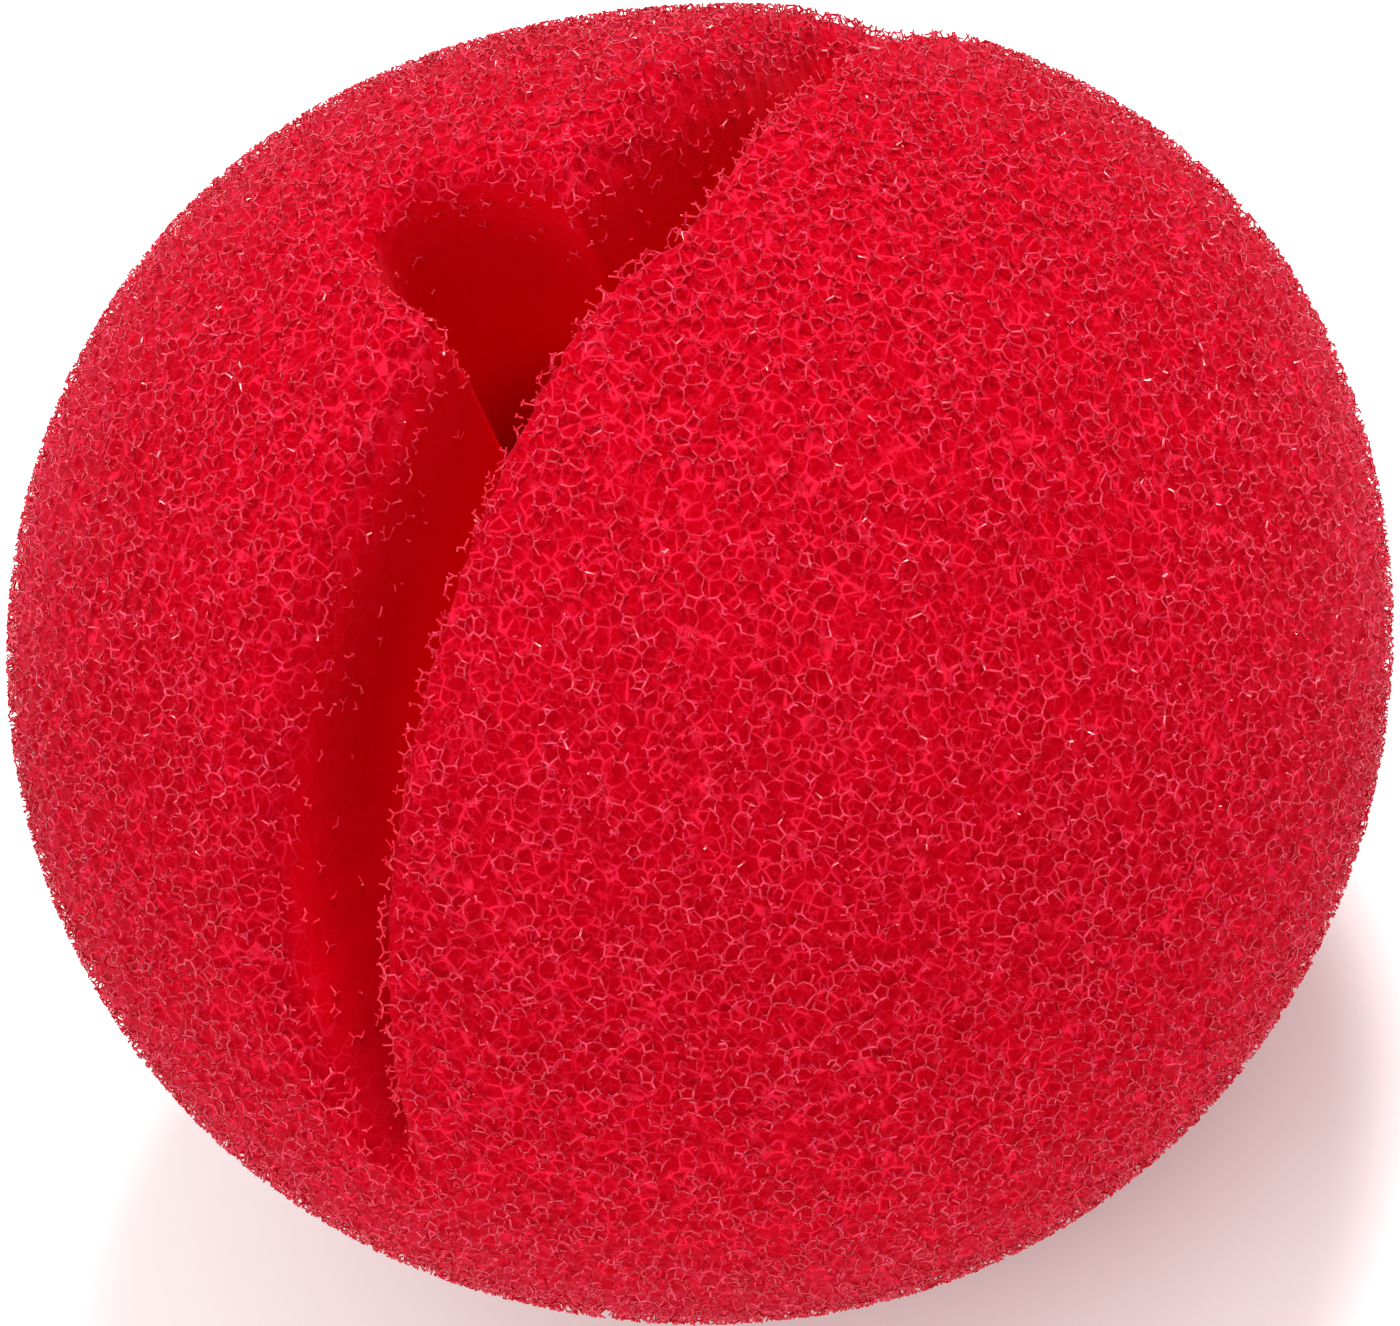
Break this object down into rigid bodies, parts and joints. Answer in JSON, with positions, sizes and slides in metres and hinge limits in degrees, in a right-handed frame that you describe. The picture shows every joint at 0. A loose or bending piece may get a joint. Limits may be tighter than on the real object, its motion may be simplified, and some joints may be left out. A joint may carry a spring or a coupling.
{
  "type": "foam clown nose",
  "caption": "Soft foam ball with an oval socket and a slit across it that close over the tip of the wearer's nose and hold it on.",
  "frame": {"origin": "middle of the bottom of the part's box, in the plane of the flat that it rests on", "axes": "+Z out of the socket, Y along the slit, X across it with +X on the side of the slit's straight wall"},
  "size_m": [0.0492, 0.0488, 0.0473],
  "materials": {
    "red_foam": "open-celled soft polyurethane foam, dyed red right through, matt with small glints on its strands"
  },
  "bodies": {
    "root": {"foam_nose": "red_foam"}
  },
  "joints": []
}
